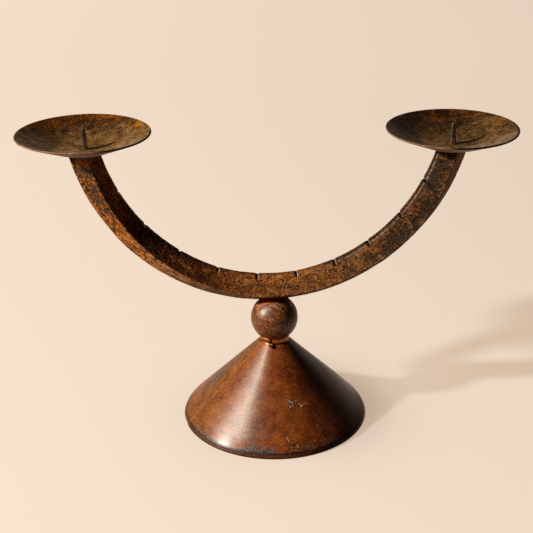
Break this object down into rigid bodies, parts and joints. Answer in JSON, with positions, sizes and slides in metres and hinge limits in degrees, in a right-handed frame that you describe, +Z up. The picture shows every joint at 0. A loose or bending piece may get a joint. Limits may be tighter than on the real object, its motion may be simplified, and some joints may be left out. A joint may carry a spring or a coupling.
{
  "type": "double candle holder",
  "caption": "Forged candle holder with a notched square-bar bow on a ball and sheet cone foot, carrying a shallow spiked dish at each end.",
  "frame": {"origin": "on the table, midway between the two dishes; the foot's column stands 3.8 mm to the right of it", "axes": "+X from the left dish to the right dish, +Y to the back, +Z up"},
  "size_m": [0.3744, 0.1478, 0.2437],
  "materials": {
    "copper_sheet": "satin browned copper sheet, darker grey-blue oxide near the rim, small scratches and pits",
    "bright_copper": "orange copper brazing and strip, lightly tarnished",
    "browned_ball": "polished brown rusted iron, mottled",
    "rusted_iron": "mottled orange-brown rust with grey-blue scale patches and pits",
    "olive_patina": "olive brown patina on raised copper sheet, dark spots and a worn reddish rim",
    "dark_iron": "blackened forged iron with brown rust",
    "plain_steel": "plain dull steel fastening inside the foot"
  },
  "bodies": {
    "root": {"foot_cone": "copper_sheet", "neck_collar": "bright_copper", "neck_ball": "browned_ball", "saddle_braze": "bright_copper", "foot_washer": "plain_steel", "foot_nut": "plain_steel", "foot_stud": "plain_steel", "bow_arm": "rusted_iron", "left_dish": "olive_patina", "left_spike": "dark_iron", "right_dish": "olive_patina", "right_spike": "dark_iron"}
  },
  "joints": []
}
